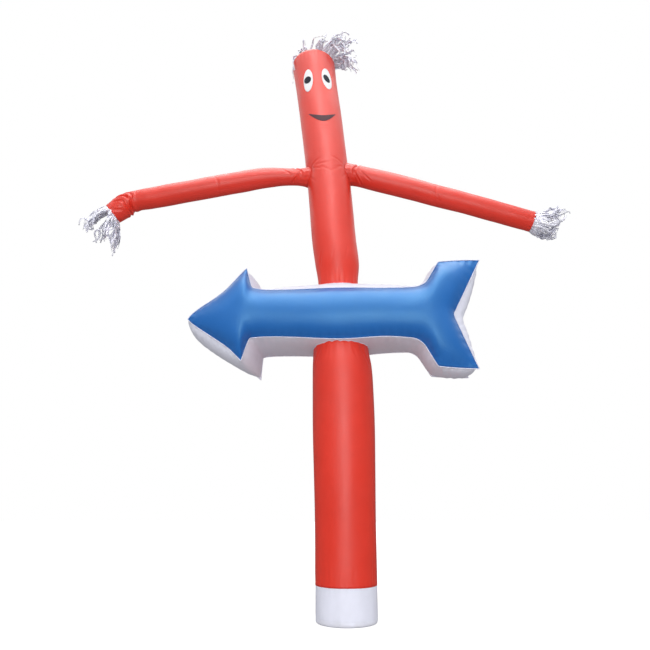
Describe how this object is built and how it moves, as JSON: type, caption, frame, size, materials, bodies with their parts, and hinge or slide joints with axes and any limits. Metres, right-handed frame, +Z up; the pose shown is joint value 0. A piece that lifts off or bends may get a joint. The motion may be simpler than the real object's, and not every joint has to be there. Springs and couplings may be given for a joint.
{
  "type": "inflatable air dancer",
  "caption": "Blown nylon tube figure with a smiling face, raised arms, ribbon hair and hands, and a big arrow round its waist.",
  "frame": {"origin": "on the ground, under the middle of the whole figure's box", "axes": "+Z up through the standing figure, -Y towards the face and the arrow's blue side, +X towards the arrow's tail"},
  "size_m": [4.6558, 0.8072, 5.6797],
  "materials": {
    "red_nylon": "thin coated nylon, soft sheen",
    "white_nylon": "thin coated nylon, soft sheen",
    "blue_nylon": "thin coated nylon, soft sheen",
    "eye_print": "sewn-on white nylon",
    "pupil_print": "sewn-on black nylon",
    "mouth_print": "sewn-on black nylon",
    "silver_ribbon": "crumpled silver-white ribbon"
  },
  "bodies": {
    "root": {"base_cuff": "white_nylon", "lower_tube": "red_nylon", "upper_tube": "red_nylon", "arm_left": "red_nylon", "arm_right": "red_nylon", "arrow_face": "blue_nylon", "arrow_band": "white_nylon", "arrow_back": "white_nylon", "eye_white_left": "eye_print", "eye_white_right": "eye_print", "pupil_left": "pupil_print", "pupil_right": "pupil_print", "mouth": "mouth_print", "hair_ribbons": "silver_ribbon", "tassel_left": "silver_ribbon", "tassel_right": "silver_ribbon"}
  },
  "joints": []
}
